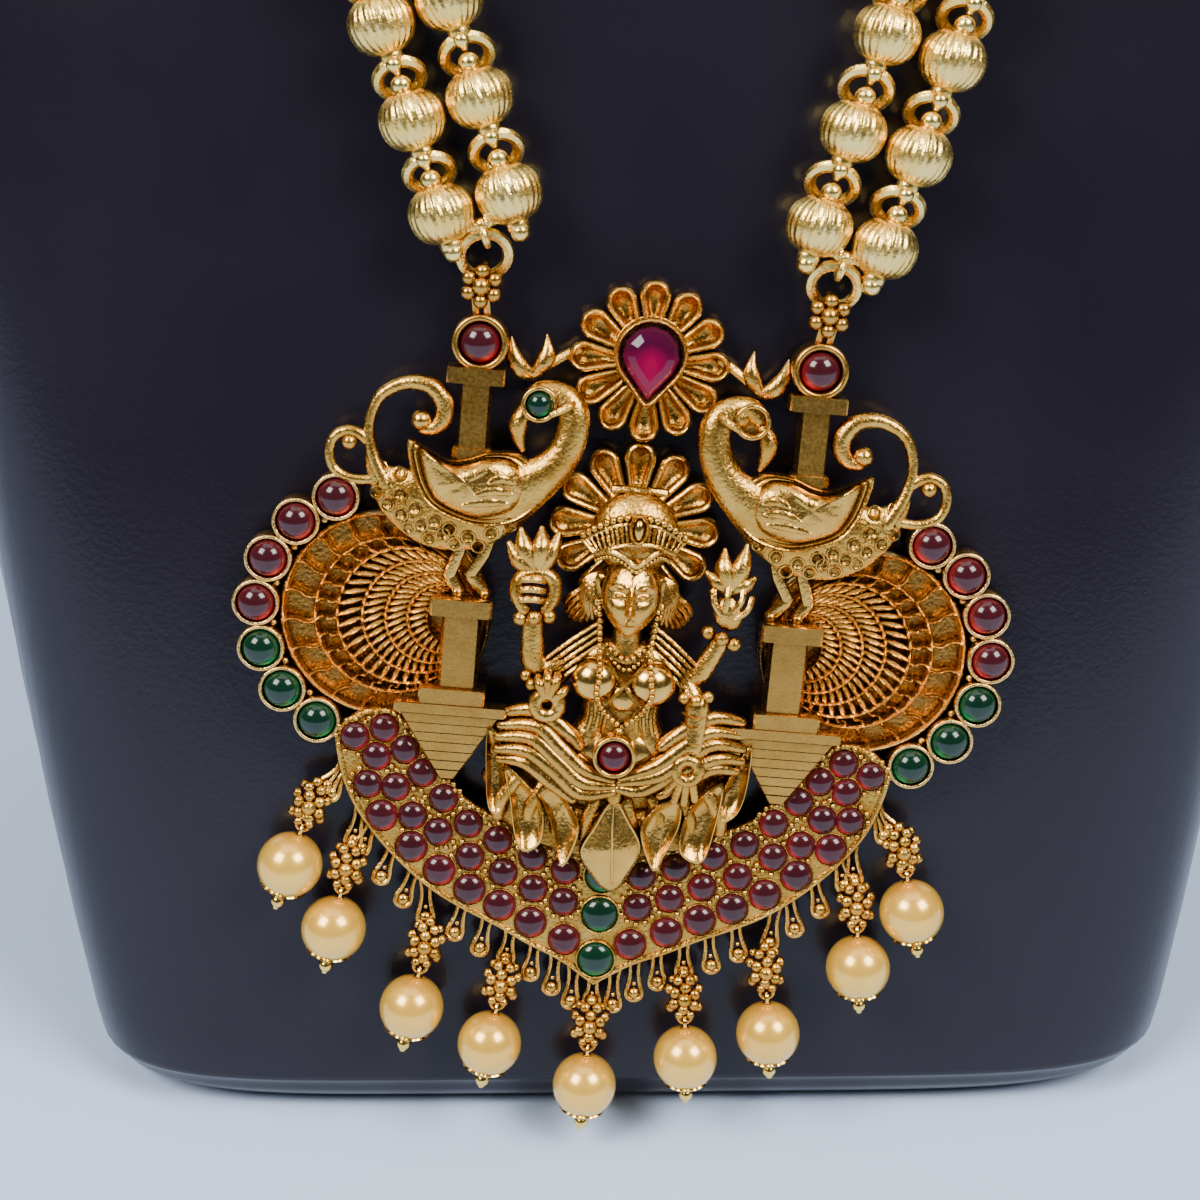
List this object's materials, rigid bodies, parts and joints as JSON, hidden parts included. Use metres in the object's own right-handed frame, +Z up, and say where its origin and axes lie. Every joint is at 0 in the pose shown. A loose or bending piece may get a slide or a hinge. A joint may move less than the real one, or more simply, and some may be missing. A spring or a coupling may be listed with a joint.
{
  "type": "temple necklace on a neck bust",
  "caption": "Gold temple necklace of ribbed balls with a cast pendant of peacocks, seated figure, red and green stones and pearl drops, on a black neck bust.",
  "frame": {"origin": "middle of the bust's flat underside, on the floor", "axes": "+Z up the bust, -Y out of its front where the pendant lies, +X to the viewer's right"},
  "size_m": [0.1536, 0.1079, 0.259],
  "materials": {
    "antique_gold": "antique matte gold plate, dark in the recesses",
    "brass_wire": "bright polished brass",
    "ruby": "polished, deep red",
    "emerald": "polished, deep green",
    "pearl": "pearly cream gold",
    "leatherette": "black, fine grain, soft sheen"
  },
  "bodies": {
    "root": {"display_bust": "leatherette", "crescent_plate": "antique_gold", "tail_fan_left": "antique_gold", "tail_fan_right": "antique_gold", "lower_column_left": "antique_gold", "lower_column_right": "antique_gold", "upper_column_left": "antique_gold", "upper_column_right": "antique_gold", "peacock_left": "antique_gold", "peacock_right": "antique_gold", "top_rosette": "antique_gold", "halo": "antique_gold", "goddess_figure": "antique_gold", "lotus_seat": "antique_gold", "pear_ruby": "ruby", "column_ruby_left": "ruby", "column_ruby_right": "ruby", "belly_ruby": "ruby", "eye_emerald": "emerald", "side_ruby_left_1": "ruby", "side_ruby_left_2": "ruby", "side_ruby_left_3": "ruby", "side_ruby_left_4": "ruby", "side_emerald_left_1": "emerald", "side_emerald_left_2": "emerald", "side_emerald_left_3": "emerald", "side_ruby_right_1": "ruby", "side_ruby_right_2": "ruby", "side_ruby_right_3": "ruby", "side_ruby_right_4": "ruby", "side_emerald_right_1": "emerald", "side_emerald_right_2": "emerald", "side_emerald_right_3": "emerald", "crescent_rubies": "ruby", "crescent_emeralds": "emerald", "pearl_1": "pearl", "pearl_2": "pearl", "pearl_3": "pearl", "pearl_4": "pearl", "pearl_5": "pearl", "pearl_6": "pearl", "pearl_7": "pearl", "pearl_8": "pearl", "pearl_9": "pearl", "pearl_pins": "brass_wire", "end_ring_left": "brass_wire", "end_ring_right": "brass_wire", "yoke_left": "antique_gold", "yoke_right": "antique_gold", "strand_left_outer": "antique_gold", "strand_left_inner": "antique_gold", "strand_right_inner": "antique_gold", "strand_right_outer": "antique_gold", "back_clasp": "antique_gold"}
  },
  "joints": []
}
